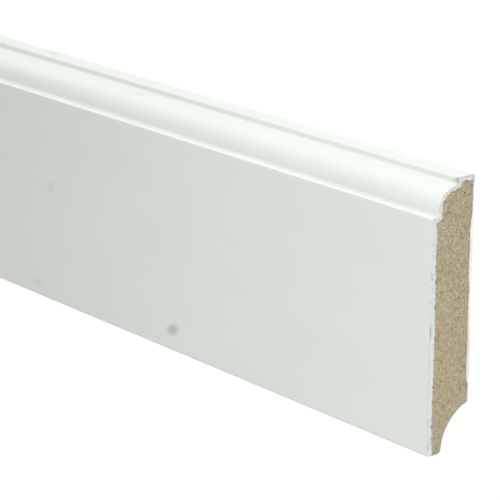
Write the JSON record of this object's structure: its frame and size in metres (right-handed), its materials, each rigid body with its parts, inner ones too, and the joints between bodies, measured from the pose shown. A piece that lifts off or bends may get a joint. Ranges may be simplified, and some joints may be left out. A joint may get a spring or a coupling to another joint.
{
  "type": "skirting board length",
  "caption": "Length of moulded skirting board: square-sawn fibreboard core in a hard white coating, with a nosed and coved top edge and a scooped lower back.",
  "frame": {"origin": "middle of the board's length and height, at the level of its back, which lies on the floor", "axes": "+X along the length, +Y up the face to the moulded top edge, +Z out of the front face"},
  "size_m": [2.4, 0.09, 0.018],
  "materials": {
    "fibreboard": "matte",
    "coating": "satin"
  },
  "bodies": {
    "root": {"fibreboard_core": "fibreboard", "white_coating": "coating"}
  },
  "joints": []
}
